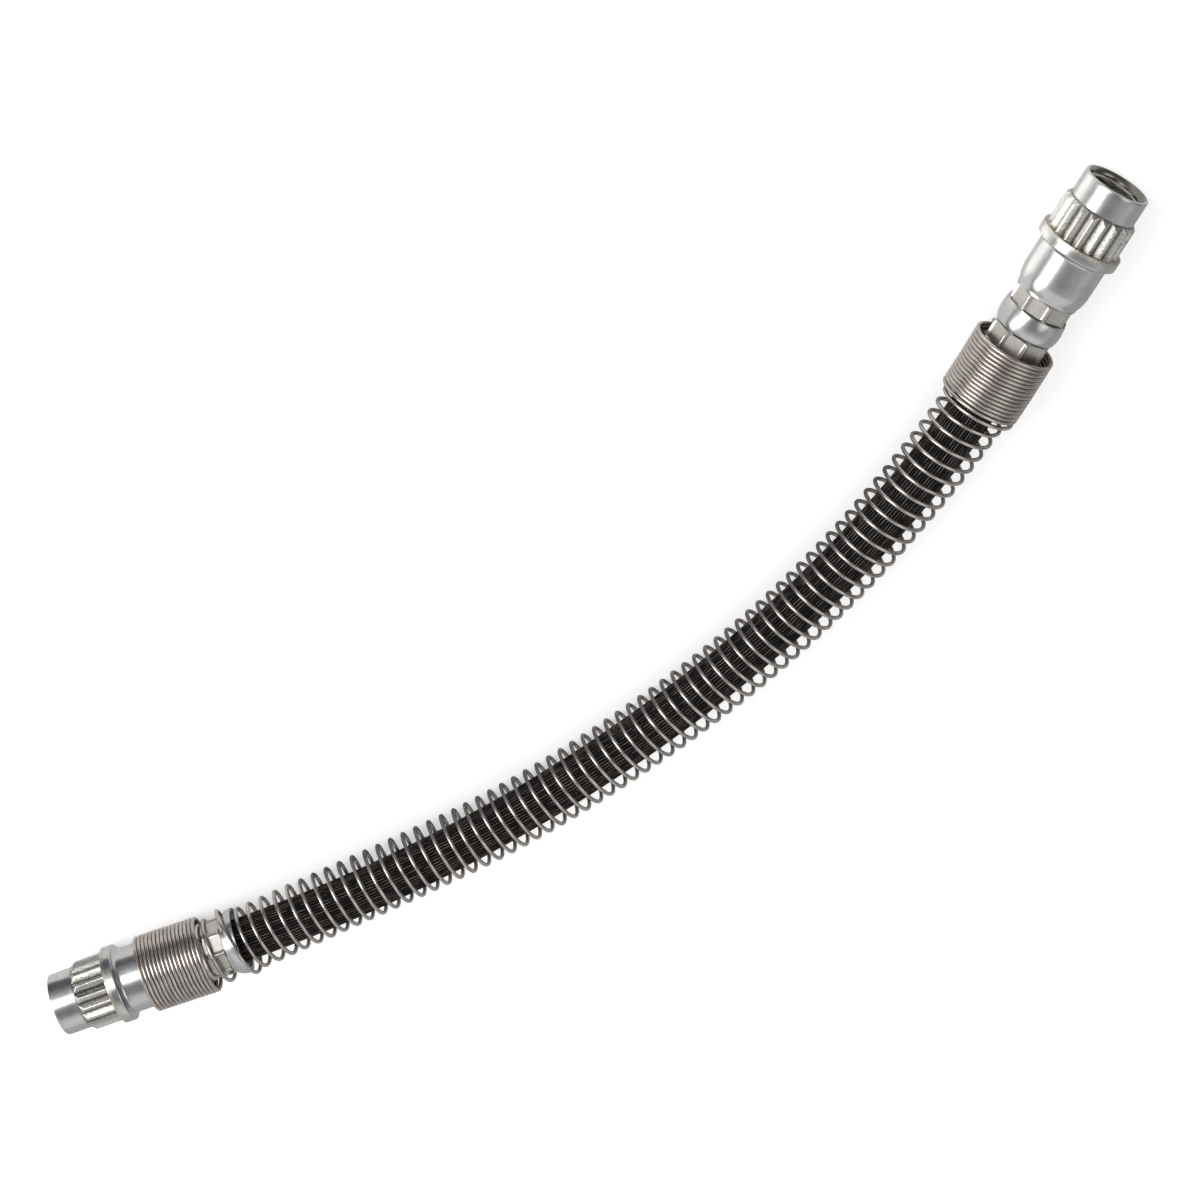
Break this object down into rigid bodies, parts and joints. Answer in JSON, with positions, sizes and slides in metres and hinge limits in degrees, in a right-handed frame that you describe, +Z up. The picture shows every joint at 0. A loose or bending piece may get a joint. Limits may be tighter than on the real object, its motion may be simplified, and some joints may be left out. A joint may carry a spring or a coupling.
{
  "type": "brake hose",
  "caption": "Black rubber hydraulic brake hose in a shallow bend, with a crimped steel female end fitting at each end and a steel wire guard spring wound round it.",
  "frame": {"origin": "centre of the bounding box in X and Y, at its bottom, where the hose lies on a table", "axes": "+X along the straight line from the left fitting's mouth to the right one's, +Y towards the inside of the bend, +Z up from the table"},
  "size_m": [0.3066, 0.055, 0.0184],
  "materials": {
    "zinc_plated_steel": "bright zinc plate, a little rough on the splines",
    "insert_steel": "plain steel tube, not seen from outside",
    "hose_rubber": "matt black with fine ribs along it",
    "spring_wire": "drawn spring wire, warm grey"
  },
  "bodies": {
    "root": {"left_fitting": "zinc_plated_steel", "right_fitting": "zinc_plated_steel", "left_insert": "insert_steel", "right_insert": "insert_steel", "hose": "hose_rubber", "guard_spring": "spring_wire"}
  },
  "joints": []
}
